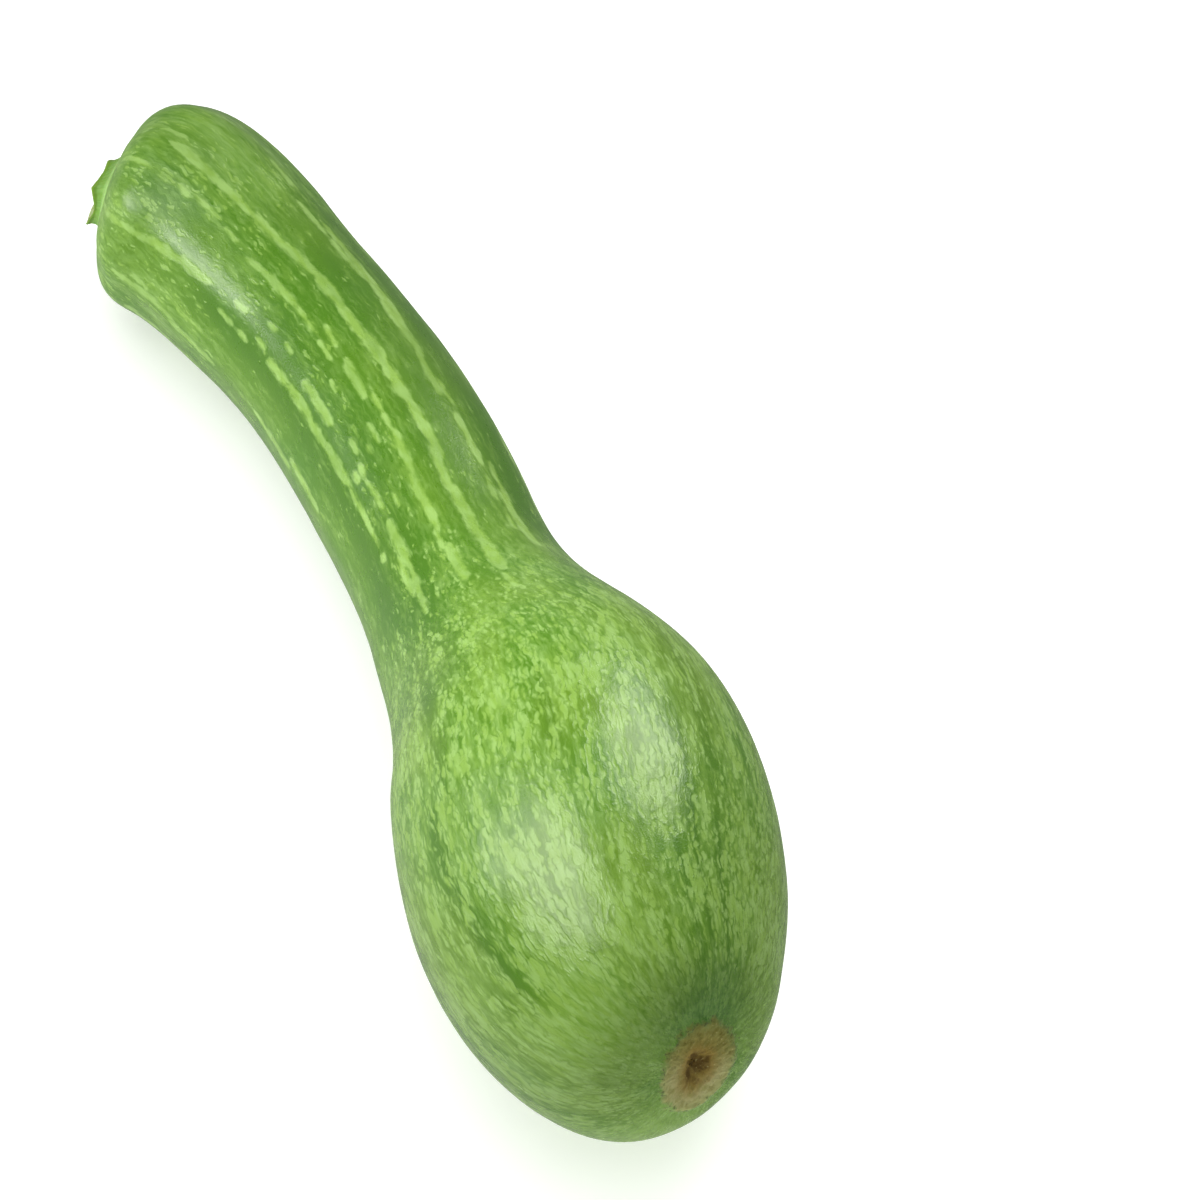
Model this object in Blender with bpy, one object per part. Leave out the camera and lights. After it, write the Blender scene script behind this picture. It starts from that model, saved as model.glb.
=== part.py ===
"""A young long-necked summer squash, lying on its side as it rests on a table.

Metres, +Z up. The stem points to -X and the blossom end to +X. The origin is on the surface
that the squash lies on, below the middle of its box. The fruit is one body swept along a bent
spine, with shallow ribs, a corky blossom scar and two small flats where it rests. The trimmed
stub of its stem is a second body, seated on the fruit's shoulder.
"""
import bmesh
import bpy
import numpy as np
from mathutils import Vector

MM = 0.001

# The spine runs from the stem pole to the blossom pole. Each control point of its curve gives a
# share of the chord between the poles, then sideways and height in millimetres.
CHORD = 277 * MM
SPINE = (
    (0.000, 0.0, 27.0),
    (0.045, 12.0, 24.5),
    (0.120, 16.5, 21.5),
    (0.250, 22.5, 22.5),
    (0.410, 21.0, 24.5),
    (0.560, 14.5, 28.0),
    (0.690, 16.0, 35.5),
    (0.820, 3.5, 38.5),
    (0.930, -4.0, 42.5),
    (1.000, 0.0, 45.5),
)

# Control radii in millimetres, evenly spaced along the spine: neck, then bulb. The domes round
# off its two ends, and a fullness above 2 makes a dome squarer than an ellipse.
GIRTH = (26.0, 24.5, 23.0, 21.0, 21.5, 22.0, 20.5, 26.0, 36.5, 38.0, 36.5, 37.0, 45.5)
SHOULDER_DEPTH = 21 * MM
SHOULDER_FULLNESS = 2.75
BLOSSOM_DEPTH = 66.5 * MM
BLOSSOM_FULLNESS = 2.45

# Shallow ribs run the length of the fruit and are strongest at the stem.
RIB_COUNT = 10
RIB_PHASE = np.radians(62)
RIB_AT_STEM = 0.45 * MM
RIB_ON_BODY = 0.10 * MM
RIB_FADE = 30 * MM

# The blossom scar. Its rim is a circle with waves of (count, millimetres, degrees). Its profile
# gives shares of the way to the rim, and heights above the rind in millimetres.
SCAR_RADIUS = 9.9 * MM
SCAR_WAVES = ((1, 1.2, -52), (2, 1.05, -170))
SCAR_PROFILE = (
    (0.00, -1.3),
    (0.15, -1.1),
    (0.33, -0.4),
    (0.55, -0.1),
    (0.80, 0.1),
    (0.95, 0.3),
    (1.03, -0.1),
    (1.15, -0.2),
    (1.40, 0.0),
)

# How far up the neck and the bulb are pressed flat, from the spine's own zero height.
FLAT_HEIGHT = 0.6 * MM

# The stem's stub leans away from the stem pole. Its profile gives heights above the pole and
# the radii of its ridges, in millimetres. Between two ridges the side draws in and the cut end
# dips, further where they stand further apart.
STEM_LEAN_ANGLE = np.radians(220)
STEM_LEAN_AT_BASE = 1.7 * MM
STEM_LEAN_AT_CUT = 3.4 * MM
STEM_PROFILE = (
    (0.0, 9.3),
    (0.7, 8.3),
    (1.5, 7.7),
    (2.4, 7.4),
    (3.3, 7.6),
    (3.6, 7.3),
)
STEM_RIDGES = (50, 126, 218, 290, 356)
STEM_VALLEY_AT_BASE = 0.03
STEM_VALLEY_AT_CUT = 0.09
STEM_DIP = 0.55 * MM
STEM_CUT_RIM = 6.5 * MM
STEM_PITH = 3.2 * MM
STEM_PITH_SINK = 0.5 * MM
STEM_GAP = 0.3 * MM

# Mesh steps, and how far each zone of finer rings reaches from its pole.
SPINE_SAMPLES = 4001
AROUND_FRUIT = 60
AROUND_STEM = 48
SHOULDER_ZONE = 33 * MM
SHOULDER_STEP = 3 * MM
BODY_STEP = 5 * MM
SCAR_ZONE = 20 * MM
SEAT_RINGS = 3


def clear_scene():
    for item in list(bpy.data.objects):
        bpy.data.objects.remove(item, do_unlink=True)


def b_spline(points, share):
    """Points of a clamped uniform cubic B-spline at shares from 0 to 1 of its parameter."""
    points = np.asarray(points, float)
    spans = len(points) - 3
    place = np.clip(share, 0.0, 1.0 - 1e-9) * spans
    knots = np.concatenate(([0.0] * 3, np.arange(spans + 1.0), [float(spans)] * 3))
    first = np.floor(place).astype(int)
    level = [points[first + i] for i in range(4)]
    for step in range(1, 4):
        for i in range(3, step - 1, -1):
            low = knots[first + i]
            high = knots[first + 4 + i - step]
            mix = (place - low) / (high - low)
            mix = mix.reshape(mix.shape + (1,) * (points.ndim - 1))
            level[i] = (1.0 - mix) * level[i - 1] + mix * level[i]
    return level[3]


def dome(distance, depth, fullness):
    """Share of the full girth at a distance from a rounded end."""
    inward = 1.0 - np.clip(distance / depth, 0.0, 1.0)
    return (1.0 - inward**fullness) ** (1.0 / fullness)


def shoulder_drop(offset):
    """How far the shoulder has fallen below the stem pole at a distance out from it."""
    share = offset / (GIRTH[0] * MM)
    return SHOULDER_DEPTH * (1.0 - (1.0 - share**SHOULDER_FULLNESS) ** (1.0 / SHOULDER_FULLNESS))


def scar_rim(angles):
    """Distance of the scar's rim from the blossom pole."""
    waves = [size * MM * np.cos(count * angles - np.radians(turn)) for count, size, turn in SCAR_WAVES]
    return SCAR_RADIUS + sum(waves)


def scar_height(share):
    shares, heights = np.transpose(SCAR_PROFILE)
    return np.interp(share, shares, heights * MM)


class Body:
    """The swept fruit: its spine, its girth, and the points of its surface."""

    def __init__(self):
        control = np.array(SPINE)
        control[:, 0] = (control[:, 0] - 0.5) * CHORD
        control[:, 1:] *= MM
        self.points = b_spline(control, np.linspace(0.0, 1.0, SPINE_SAMPLES))
        steps = np.linalg.norm(np.diff(self.points, axis=0), axis=1)
        self.distance = np.concatenate(([0.0], np.cumsum(steps)))
        self.length = self.distance[-1]
        self.tangents = np.gradient(self.points, self.distance, axis=0)
        # The samples crowd towards the poles, where the radius changes fastest.
        wave = 0.5 - 0.5 * np.cos(np.linspace(0.0, np.pi, SPINE_SAMPLES))
        self.samples = self.length * wave
        rise = np.hypot(np.diff(self.samples), np.diff(self.radius(self.samples)))
        self.meridian = np.concatenate(([0.0], np.cumsum(rise)))

    def girth(self, along):
        return b_spline(GIRTH, np.asarray(along) / self.length) * MM

    def radius(self, along):
        shoulder = dome(along, SHOULDER_DEPTH, SHOULDER_FULLNESS)
        blossom = dome(self.length - along, BLOSSOM_DEPTH, BLOSSOM_FULLNESS)
        return self.girth(along) * shoulder * blossom

    def frame(self, along):
        """Centre, sideways, upward and forward directions at a distance along the spine."""
        centre = np.stack([np.interp(along, self.distance, row) for row in self.points.T], -1)
        forward = np.stack([np.interp(along, self.distance, row) for row in self.tangents.T], -1)
        forward /= np.linalg.norm(forward, axis=-1, keepdims=True)
        sideways = np.cross((0.0, 0.0, 1.0), forward)
        sideways /= np.linalg.norm(sideways, axis=-1, keepdims=True)
        return centre, sideways, np.cross(forward, sideways), forward

    def surface(self, crossing, angles):
        """Points at distances along the surface from the stem pole and angles around it."""
        along = np.interp(np.broadcast_to(crossing, angles.shape), self.meridian, self.samples)
        centre, sideways, upward, forward = self.frame(along)
        plain = self.radius(along)
        swell = RIB_ON_BODY + (RIB_AT_STEM - RIB_ON_BODY) * np.exp(-along / RIB_FADE)
        ribs = swell * np.cos(RIB_COUNT * (angles - RIB_PHASE)) * plain / self.girth(along)
        relief = scar_height((self.meridian[-1] - crossing) / scar_rim(angles))
        outward = np.cos(angles)[:, None] * sideways + np.sin(angles)[:, None] * upward
        return centre + (plain + ribs)[:, None] * outward + relief[:, None] * forward


def add_ring(mesh, ring):
    return [mesh.verts.new(Vector(point)) for point in ring]


def bridge(mesh, first, second):
    count = len(first)
    for i in range(count):
        j = (i + 1) % count
        mesh.faces.new((first[i], first[j], second[j], second[i]))


def close_at(mesh, ring, point):
    tip = mesh.verts.new(Vector(point))
    count = len(ring)
    for i in range(count):
        mesh.faces.new((ring[i], ring[(i + 1) % count], tip))


def skin(mesh, rings, first_tip, last_tip):
    """Joins rings of points into one closed surface with a tip at either end."""
    rows = [add_ring(mesh, ring) for ring in rings]
    for first, second in zip(rows, rows[1:]):
        bridge(mesh, first, second)
    close_at(mesh, rows[0], first_tip)
    close_at(mesh, rows[-1], last_tip)
    bmesh.ops.triangulate(mesh, faces=mesh.faces)


def make_object(name, mesh, material):
    bmesh.ops.recalc_face_normals(mesh, faces=mesh.faces)
    data = bpy.data.meshes.new(name)
    mesh.to_mesh(data)
    mesh.free()
    data.materials.append(material)
    data.shade_smooth()
    data.set_sharp_from_angle(angle=np.radians(40))
    made = bpy.data.objects.new(name, data)
    bpy.context.scene.collection.objects.link(made)
    return made


def make_material(name, colour, roughness):
    material = bpy.data.materials.new(name)
    material.use_nodes = True
    shader = material.node_tree.nodes["Principled BSDF"]
    shader.inputs["Base Color"].default_value = (*colour, 1.0)
    shader.inputs["Roughness"].default_value = roughness
    shader.inputs["Metallic"].default_value = 0.0
    return material


def press_flat(mesh):
    """Cuts the lowest parts away and closes each cut with one flat face."""
    bmesh.ops.bisect_plane(
        mesh,
        geom=mesh.verts[:] + mesh.edges[:] + mesh.faces[:],
        dist=1e-7,
        plane_co=(0.0, 0.0, FLAT_HEIGHT),
        plane_no=(0.0, 0.0, 1.0),
        clear_inner=True,
    )
    bmesh.ops.holes_fill(mesh, edges=[edge for edge in mesh.edges if edge.is_boundary], sides=0)


def make_fruit(body):
    angles = RIB_PHASE + np.linspace(0.0, 2.0 * np.pi, AROUND_FRUIT, endpoint=False)
    total = body.meridian[-1]
    body_steps = int(round((total - SCAR_ZONE - SHOULDER_ZONE) / BODY_STEP))
    crossings = list(np.arange(SHOULDER_STEP, SHOULDER_ZONE, SHOULDER_STEP))
    crossings += list(np.linspace(SHOULDER_ZONE, total - SCAR_ZONE, body_steps + 1))
    # The last rings follow the scar's rim inwards, one at each height of its profile.
    crossings += [total - share * scar_rim(angles) for share, height in SCAR_PROFILE[:0:-1]]
    rings = [body.surface(crossing, angles) for crossing in crossings]
    blossom_tip = body.points[-1] + scar_height(0.0) * body.frame(body.length)[3]
    mesh = bmesh.new()
    skin(mesh, rings, body.points[0], blossom_tip)
    press_flat(mesh)
    return make_object("fruit", mesh, make_material("rind", (0.156, 0.352, 0.045), 0.35))


def between_ridges(angles):
    """0 on a ridge of the stem, and about 1 midway between two that are evenly spaced."""
    ridges = np.radians(STEM_RIDGES + (STEM_RIDGES[0] + 360,))
    turned = (angles - ridges[0]) % (2.0 * np.pi) + ridges[0]
    index = np.searchsorted(ridges, turned, side="right") - 1
    width = ridges[index + 1] - ridges[index]
    share = (turned - ridges[index]) / width
    return (width * len(STEM_RIDGES) / (2.0 * np.pi)) ** 4 * np.sin(np.pi * share)


def make_stem(body):
    pole, sideways, upward, forward = body.frame(0.0)
    angles = np.linspace(0.0, 2.0 * np.pi, AROUND_STEM, endpoint=False)
    spread = np.outer(np.cos(angles), sideways) + np.outer(np.sin(angles), upward)
    lean = np.cos(STEM_LEAN_ANGLE) * sideways + np.sin(STEM_LEAN_ANGLE) * upward
    gap = between_ridges(angles)
    top = STEM_PROFILE[-1][0] * MM

    def middle(height):
        share = height / top
        return pole + (STEM_LEAN_AT_BASE * (1.0 - share) + STEM_LEAN_AT_CUT * share) * lean

    def outline(height, radius):
        share = height / top
        valley = STEM_VALLEY_AT_BASE * (1.0 - share) + STEM_VALLEY_AT_CUT * share
        return middle(height) + (radius * (1.0 - valley * gap))[:, None] * spread

    def free_ring(height, radius):
        rise = height - STEM_DIP * gap * height / top
        return outline(height, radius) - rise[:, None] * forward

    def seat(points):
        drop = shoulder_drop(np.linalg.norm(points - pole, axis=-1)) - STEM_GAP
        return points + np.multiply.outer(drop, forward)

    base = STEM_PROFILE[0][1] * MM
    rings = [seat(outline(0.0, base * (k + 1) / SEAT_RINGS)) for k in range(SEAT_RINGS)]
    rings += [free_ring(height * MM, radius * MM) for height, radius in STEM_PROFILE[1:]]
    rings.append(free_ring(top, STEM_CUT_RIM))
    pith = middle(top) - (top - STEM_PITH_SINK) * forward
    rings.append(pith + STEM_PITH * spread)
    mesh = bmesh.new()
    skin(mesh, rings, seat(middle(0.0)), pith)
    return make_object("stem", mesh, make_material("stem_skin", (0.141, 0.305, 0.070), 0.6))


def stand_on_origin(objects):
    """Moves the objects together so that the origin is below the middle of their box."""
    points = np.array([vertex.co for item in objects for vertex in item.data.vertices])
    low = points.min(axis=0)
    middle = (low + points.max(axis=0)) / 2.0
    for item in objects:
        item.location = (-middle[0], -middle[1], -low[2])


def main():
    clear_scene()
    body = Body()
    stand_on_origin([make_fruit(body), make_stem(body)])


main()
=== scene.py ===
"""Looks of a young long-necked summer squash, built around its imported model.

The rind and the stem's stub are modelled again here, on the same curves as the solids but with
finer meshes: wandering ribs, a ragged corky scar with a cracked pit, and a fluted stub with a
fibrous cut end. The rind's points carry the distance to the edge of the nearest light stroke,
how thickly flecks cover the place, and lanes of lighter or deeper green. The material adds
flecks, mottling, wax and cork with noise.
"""

import bpy
import numpy as np
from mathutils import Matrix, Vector, noise


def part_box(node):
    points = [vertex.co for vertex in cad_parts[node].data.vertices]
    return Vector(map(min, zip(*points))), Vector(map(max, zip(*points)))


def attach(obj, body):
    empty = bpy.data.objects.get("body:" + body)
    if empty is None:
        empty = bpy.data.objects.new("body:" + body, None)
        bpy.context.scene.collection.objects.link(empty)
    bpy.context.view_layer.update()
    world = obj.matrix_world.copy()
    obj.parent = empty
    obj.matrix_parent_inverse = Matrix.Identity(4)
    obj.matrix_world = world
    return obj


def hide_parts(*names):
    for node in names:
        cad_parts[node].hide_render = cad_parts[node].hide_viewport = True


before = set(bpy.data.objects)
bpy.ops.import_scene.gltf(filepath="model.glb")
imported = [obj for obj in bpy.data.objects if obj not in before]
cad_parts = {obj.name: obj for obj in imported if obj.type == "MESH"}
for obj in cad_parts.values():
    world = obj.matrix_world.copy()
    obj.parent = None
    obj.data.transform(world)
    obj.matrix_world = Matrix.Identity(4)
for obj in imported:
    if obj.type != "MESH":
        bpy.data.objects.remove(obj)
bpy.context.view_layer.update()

MM = 0.001

# The body's driving values, as in the solids: the spine's control points give a share of the
# chord between the poles, then sideways and height in millimetres.
CHORD = 277 * MM
SPINE = (
    (0.000, 0.0, 27.0),
    (0.045, 12.0, 24.5),
    (0.120, 16.5, 21.5),
    (0.250, 22.5, 22.5),
    (0.410, 21.0, 24.5),
    (0.560, 14.5, 28.0),
    (0.690, 16.0, 35.5),
    (0.820, 3.5, 38.5),
    (0.930, -4.0, 42.5),
    (1.000, 0.0, 45.5),
)
GIRTH = (26.0, 24.5, 23.0, 21.0, 21.5, 22.0, 20.5, 26.0, 36.5, 38.0, 36.5, 37.0, 45.5)
SHOULDER_DEPTH = 21 * MM
SHOULDER_FULLNESS = 2.75
BLOSSOM_DEPTH = 66.5 * MM
BLOSSOM_FULLNESS = 2.45
RIB_COUNT = 10
RIB_PHASE = np.radians(62)
RIB_AT_STEM = 0.45 * MM
RIB_ON_BODY = 0.10 * MM
RIB_FADE = 30 * MM
SCAR_RADIUS = 9.9 * MM
SCAR_WAVES = ((1, 1.2, -52), (2, 1.05, -170))
SCAR_PROFILE = (
    (0.00, -1.3),
    (0.15, -1.1),
    (0.33, -0.4),
    (0.55, -0.1),
    (0.80, 0.1),
    (0.95, 0.3),
    (1.03, -0.1),
    (1.15, -0.2),
    (1.40, 0.0),
)
FLAT_HEIGHT = 0.6 * MM
STEM_LEAN_ANGLE = np.radians(220)
STEM_LEAN_AT_BASE = 1.7 * MM
STEM_LEAN_AT_CUT = 3.4 * MM
STEM_PROFILE = ((0.0, 9.3), (0.7, 8.3), (1.5, 7.7), (2.4, 7.4), (3.3, 7.6), (3.6, 7.3))
STEM_RIDGES = (50, 126, 218, 290, 356)
STEM_VALLEY_AT_BASE = 0.03
STEM_VALLEY_AT_CUT = 0.09
STEM_DIP = 0.55 * MM

# Samples along the spine. Its box is found from so many angles at every so many of them.
SPINE_SAMPLES = 4001
SURVEY_ANGLES, SURVEY_STEP = 240, 20

# Fine mesh steps of the rind, and the zone of closer rings round the scar, in shares of its rim.
AROUND_RIND = 320
RIND_STEP = 1.22 * MM
SCAR_ZONE_SHARE = 1.9
SCAR_SHARE_STEP = 0.042
AROUND_STEM = 200
RINGS_UP_STEM, RINGS_OVER_CUT = 25, 25

# Relief of the rind: how far its ribs wander and over what length, its soft lumps, and the fine
# pucker round the stem, which fades along the body as the paler rind there does.
RIB_WANDER = np.radians(4.0)
RIB_WANDER_LENGTH = 60 * MM
LUMP_HEIGHT = 0.16 * MM
LUMP_LENGTH = 17 * MM
PUCKER_HEIGHT = 0.22 * MM
PUCKER_LENGTH = 14 * MM
PUCKER_TURNS = 5.5
PUCKER_FADE = 9 * MM
PALE_FADE = 11 * MM

# Where the neck turns into the bulb, in shares of the spine.
BULB_FROM, BULB_TO = 0.52, 0.72

# Relief of the scar: its crumbled cork, the depth of its cracked pit and its ragged lip, with the
# lengths of its crumbs and ragged edges in millimetres, and how far out it is rough.
CORK_HEIGHT = 0.22 * MM
PIT_DEPTH = 0.35 * MM
LIP_HEIGHT = 0.25 * MM
CRUMB_LENGTH = 1.1
RAGGED_LENGTH = 2.3
LAST_ROUGH_SHARE = 1.5

# Relief of the stem's stub: how far its seat is sunk, how uneven its flutes are, the hollow of
# its pith, the share of the cut end inside its last ring, its worn edge and its rough cut end.
STEM_SUNK = 0.35 * MM
FLUTE_ROUGHNESS = 0.16 * MM
PITH_DEPTH = 0.5 * MM
CUT_HOLE = 0.03
EDGE_WEAR = 0.12 * MM
CUT_ROUGHNESS = 0.10 * MM

# The finest relief, which the materials draw: the rind's grain and the stem's fibres.
GRAIN_DEPTH = 0.045 * MM
FIBRE_DEPTH = 0.12 * MM

# Stands for a place far outside every stroke, in millimetres, and the share of the spine beyond
# a stroke's ends where it still counts.
FAR_OUTSIDE = -9.0
STROKE_MARGIN = 0.03

# Light strokes on the neck, each from (share, degrees) to (share, degrees) and its width in
# millimetres. Shares run along the spine from the stem, degrees round it from the bowed side
# over the top.
STROKES = (
    (0.030, 88.0, 0.052, 87.5, 0.8),
    (0.048, 95.0, 0.100, 94.5, 2.1),
    (0.100, 94.0, 0.145, 92.0, 1.6),
    (0.145, 91.5, 0.190, 89.5, 1.5),
    (0.185, 88.5, 0.225, 87.0, 1.9),
    (0.225, 86.0, 0.262, 86.5, 2.6),
    (0.262, 87.0, 0.305, 87.5, 2.2),
    (0.300, 85.5, 0.335, 86.0, 2.7),
    (0.335, 85.5, 0.375, 85.5, 2.5),
    (0.375, 85.0, 0.440, 82.5, 2.2),
    (0.430, 85.5, 0.475, 86.5, 1.8),
    (0.472, 84.5, 0.520, 84.5, 2.4),
    (0.515, 85.5, 0.550, 84.0, 2.2),
    (0.545, 84.5, 0.590, 86.5, 2.8),
    (0.600, 88.0, 0.625, 88.5, 1.2),
    (0.100, 55.0, 0.128, 55.5, 1.2),
    (0.148, 61.5, 0.185, 61.5, 0.9),
    (0.175, 56.5, 0.215, 56.0, 1.5),
    (0.195, 61.0, 0.240, 62.0, 1.0),
    (0.210, 57.5, 0.290, 58.0, 2.2),
    (0.270, 61.5, 0.330, 61.0, 1.9),
    (0.325, 62.5, 0.375, 65.0, 1.5),
    (0.355, 61.0, 0.385, 60.5, 1.1),
    (0.395, 62.5, 0.450, 61.5, 1.5),
    (0.445, 55.0, 0.495, 55.0, 1.3),
    (0.480, 57.0, 0.555, 58.0, 2.0),
    (0.462, 62.5, 0.490, 63.5, 1.1),
    (0.500, 61.5, 0.530, 63.5, 1.0),
    (0.012, 111.5, 0.044, 112.5, 1.3),
    (0.046, 113.0, 0.066, 113.5, 0.7),
    (0.075, 110.5, 0.092, 111.5, 0.8),
    (0.098, 108.5, 0.132, 107.0, 0.7),
    (0.140, 108.0, 0.160, 108.5, 0.6),
    (0.176, 111.0, 0.195, 109.5, 1.0),
    (0.195, 109.0, 0.245, 107.5, 1.5),
    (0.240, 107.5, 0.275, 108.5, 0.9),
    (0.276, 101.5, 0.300, 103.5, 1.0),
    (0.286, 109.5, 0.308, 110.0, 0.9),
    (0.316, 102.5, 0.330, 102.5, 0.9),
    (0.322, 104.5, 0.358, 105.0, 1.8),
    (0.360, 100.5, 0.377, 101.0, 1.3),
    (0.380, 101.0, 0.396, 101.0, 0.9),
    (0.402, 100.5, 0.447, 101.5, 1.7),
    (0.447, 103.5, 0.512, 102.5, 1.6),
    (0.455, 101.0, 0.500, 101.0, 1.0),
    (0.510, 104.0, 0.535, 104.5, 0.8),
    (0.535, 101.5, 0.585, 103.0, 2.3),
    (0.383, 111.0, 0.405, 111.0, 0.7),
    (0.325, 116.5, 0.338, 117.0, 0.6),
    (0.375, 118.5, 0.390, 119.0, 0.6),
    (0.400, 117.0, 0.410, 117.0, 0.8),
    (0.455, 116.0, 0.470, 116.0, 0.6),
    (0.238, 125.5, 0.250, 125.5, 1.0),
    (0.264, 125.5, 0.277, 125.8, 0.9),
    (0.308, 129.5, 0.362, 129.5, 1.9),
    (0.385, 123.5, 0.401, 124.0, 1.0),
    (0.412, 125.5, 0.425, 125.8, 0.8),
    (0.414, 130.8, 0.426, 131.0, 1.1),
    (0.430, 126.3, 0.463, 125.0, 1.1),
    (0.476, 125.5, 0.530, 124.5, 1.9),
    (0.515, 128.5, 0.560, 128.5, 1.3),
    (0.530, 124.0, 0.590, 126.0, 1.4),
    (0.008, 148.5, 0.040, 147.5, 1.8),
    (0.038, 147.0, 0.085, 144.5, 1.3),
    (0.085, 143.5, 0.125, 139.5, 2.3),
    (0.125, 138.5, 0.166, 136.0, 1.9),
    (0.178, 134.5, 0.188, 134.0, 0.7),
    (0.196, 133.0, 0.215, 131.5, 0.8),
    (0.238, 137.0, 0.253, 137.5, 1.0),
    (0.262, 140.0, 0.300, 139.5, 1.5),
    (0.298, 138.5, 0.340, 138.0, 1.9),
    (0.340, 139.0, 0.372, 139.0, 1.6),
    (0.372, 138.0, 0.420, 137.5, 1.8),
    (0.420, 137.5, 0.490, 137.0, 1.0),
    (0.498, 137.0, 0.505, 137.0, 0.9),
    (0.188, 143.5, 0.208, 143.5, 0.9),
    (0.217, 143.5, 0.230, 143.5, 1.0),
    (0.050, 173.5, 0.145, 173.0, 1.3),
    (0.140, 176.5, 0.200, 177.0, 1.2),
    (0.270, 173.5, 0.340, 174.0, 1.5),
    (0.340, 168.0, 0.400, 169.0, 1.6),
    (0.080, 168.0, 0.110, 168.0, 0.6),
    (0.138, 163.0, 0.180, 163.5, 0.6),
)
# Stripes on the far side, by mean degrees. Their strokes are drawn by a seeded rule, with these
# lengths and gaps in shares of the spine, and the chance of each.
FAR_STRIPES = (203, 229, 251, 283, 309, 327, 352, 22)
FAR_END = 0.57
FAR_LENGTHS, LENGTH_CHANCES = (0.012, 0.02, 0.035, 0.055), (0.3, 0.25, 0.25, 0.2)
FAR_GAPS, GAP_CHANCES = (-0.004, 0.004, 0.016), (0.45, 0.35, 0.2)
SEED = 11

# How thickly light flecks cover the rind, by share along the spine.
FLECK_COVER = (
    (0.00, 0.35),
    (0.04, 0.50),
    (0.12, 0.46),
    (0.20, 0.24),
    (0.28, 0.10),
    (0.45, 0.10),
    (0.54, 0.36),
    (0.62, 0.76),
    (0.70, 1.00),
    (0.88, 1.00),
    (0.94, 1.15),
    (0.98, 1.00),
    (1.00, 0.50),
)

# Lanes of the neck with more or fewer flecks: middle and spread in degrees, and the change. They
# begin and end softly between these shares.
LANES_BEGIN = (0.14, 0.24)
LANES_END = (0.62, 0.50)
FLECK_LANES = (
    (118, 16, 0.11),
    (88, 8, -0.08),
    (70, 14, -0.08),
    (45, 14, -0.10),
    (160, 12, -0.08),
    (215, 14, 0.14),
    (268, 18, 0.16),
    (335, 16, 0.12),
)

# Lanes of lighter (+) or deeper (-) green, from share to share, with their degrees and spread.
# Each fades from a little outside its ends to a little inside them. Most are the rind's own
# lanes. Those marked below are painted shade and painted fill light, some of them over deeper lanes.
FADE_OUTSIDE, FADE_INSIDE = 0.03, 0.02
TONE_AND_PAINTED_LIGHT_LANES = (
    (0.03, 0.14, 75, 26, 0.58),
    # The next two are partly deeper lanes of the rind and partly painted shade.
    (0.16, 0.56, 146, 10, -0.65),
    (0.57, 0.70, 133, 18, -0.50),
    # Painted shade along the neck's side at 44 degrees.
    (0.15, 0.52, 44, 12, -0.6),
    (0.20, 0.50, 73, 6, -0.5),
    (0.22, 0.52, 87, 7, -0.35),
    # Partly a deeper lane of the rind and partly painted shade.
    (0.22, 0.58, 125, 17, -0.50),
    # Painted fill light: a lighter lane next to the blossom end.
    (0.955, 1.00, 134, 28, 0.90),
    (0.87, 0.985, 53, 1.8, -0.60),
    (0.86, 0.98, 62, 1.6, -0.60),
    (0.89, 0.98, 69, 1.4, -0.50),
    (0.95, 1.05, 235, 45, 0.80),
    (0.71, 0.83, 52, 3.5, -0.35),
    (0.77, 0.88, 63, 3, -0.40),
    (0.74, 0.81, 100, 3, -0.50),
    (0.68, 0.80, 138, 4, -0.5),
    (0.80, 0.93, 146, 5, -0.5),
    (0.62, 0.90, 190, 6, -0.5),
    (0.10, 0.50, 206, 10, -0.5),
    (0.60, 0.90, 230, 6, -0.5),
    (0.20, 0.60, 240, 8, -0.5),
    (0.65, 0.92, 290, 6, -0.5),
    (0.10, 0.50, 300, 10, -0.5),
    (0.70, 0.95, 330, 6, -0.5),
)

# The darker rind above the scar, in degrees round the pole and shares of the scar's rim.
DUSK_MIDDLE = 62
DUSK_SPREAD = 52
DUSK_REACH = 2.8
DUSK_STRENGTH = 0.78

# Cracks of the scar's pit, from (across, up) to (across, up) and half width, in millimetres.
PIT_CRACKS = ((0.1, 2.2, 1.9, -2.8, 1.7), (-1.4, -0.9, -0.6, -4.2, 1.2))

# The camera: what it looks at, its distance, compass angle and height angle, its lens and sensor.
CAMERA_TARGET = (0.0174, 0.0351, 0.0245)
CAMERA_DISTANCE = 1.11
CAMERA_AZIMUTH = np.radians(-26.44)
CAMERA_ELEVATION = np.radians(50.0)
CAMERA_LENS = 162.5
SENSOR_WIDTH = 36.0

# The floor: half its side, how far it lies below the squash, and its own glow, which is painted
# # light: it is weaker where the squash shades it, a painted shadow found by ambient occlusion,
# # and it grows with the distance from the squash.
FLOOR_HALF = 4.0
FLOOR_DROP = 0.0002
SHADE_REACH = 0.07
SHADED_GLOW, OPEN_GLOW = 0.20, 0.62
GLOW_GROWTH = 0.22
GROWTH_FROM, GROWTH_TO = 0.15, 0.45

# Soft windows of light: the point that each faces, its compass angle and height angle in degrees,
# its distance, its width and height, its radiance, its spread in degrees, and if it casts shadow.
WINDOWS = {
    "window_back": ((0.085, 0.015, 0.074), 127, 37, 0.40, (0.21, 0.27), 5.0, 180, True),
    "window_left": ((0.108, -0.014, 0.071), -133, 56, 0.28, (0.21, 0.24), 1.80, 105, False),
    "window_neck": ((-0.090, 0.002, 0.040), -107, 31, 0.30, (0.19, 0.13), 1.85, 80, False),
}

# Grades of the world's light: along which axis of the direction, from where to where, and the
# values at either end. They are the light from below, from above, and the blend between the two.
WORLD_GRADES = (
    ("Y", -1.0, 1.0, 0.75, 0.10),
    ("Y", -1.0, 1.0, 0.12, 0.25),
    ("Z", -0.15, 0.15, 0.0, 1.0),
)


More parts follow.
